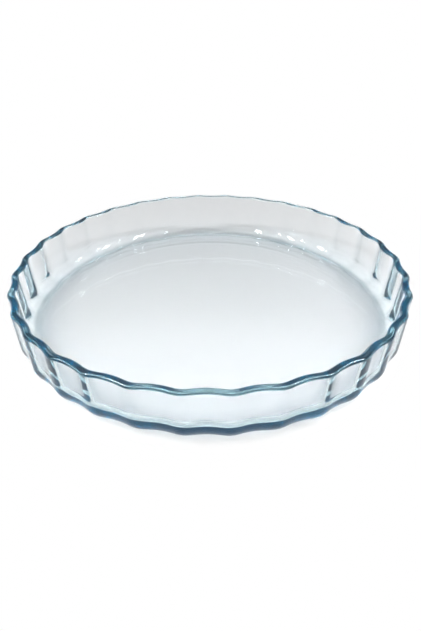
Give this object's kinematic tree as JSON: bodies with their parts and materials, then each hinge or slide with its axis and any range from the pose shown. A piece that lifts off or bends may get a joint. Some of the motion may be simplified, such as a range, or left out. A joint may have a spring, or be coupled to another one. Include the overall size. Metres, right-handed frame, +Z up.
{
  "type": "fluted baking dish",
  "caption": "Round shallow flan dish of clear pressed glass, with an upright fluted wall, rounded rim, flat floor and flat foot ring, for baking and serving tarts.",
  "frame": {"origin": "centre of the circle that the foot ring stands on, at table level", "axes": "+Z up along the dish's axis; +X and +Y each point at a ridge of the flutes"},
  "size_m": [0.2798, 0.2798, 0.038],
  "materials": {
    "clear_glass": "clear pressed glass, fire-polished, with a pale steel-blue tint that deepens along the rim and heel"
  },
  "bodies": {
    "root": {"fluted_dish": "clear_glass"}
  },
  "joints": []
}
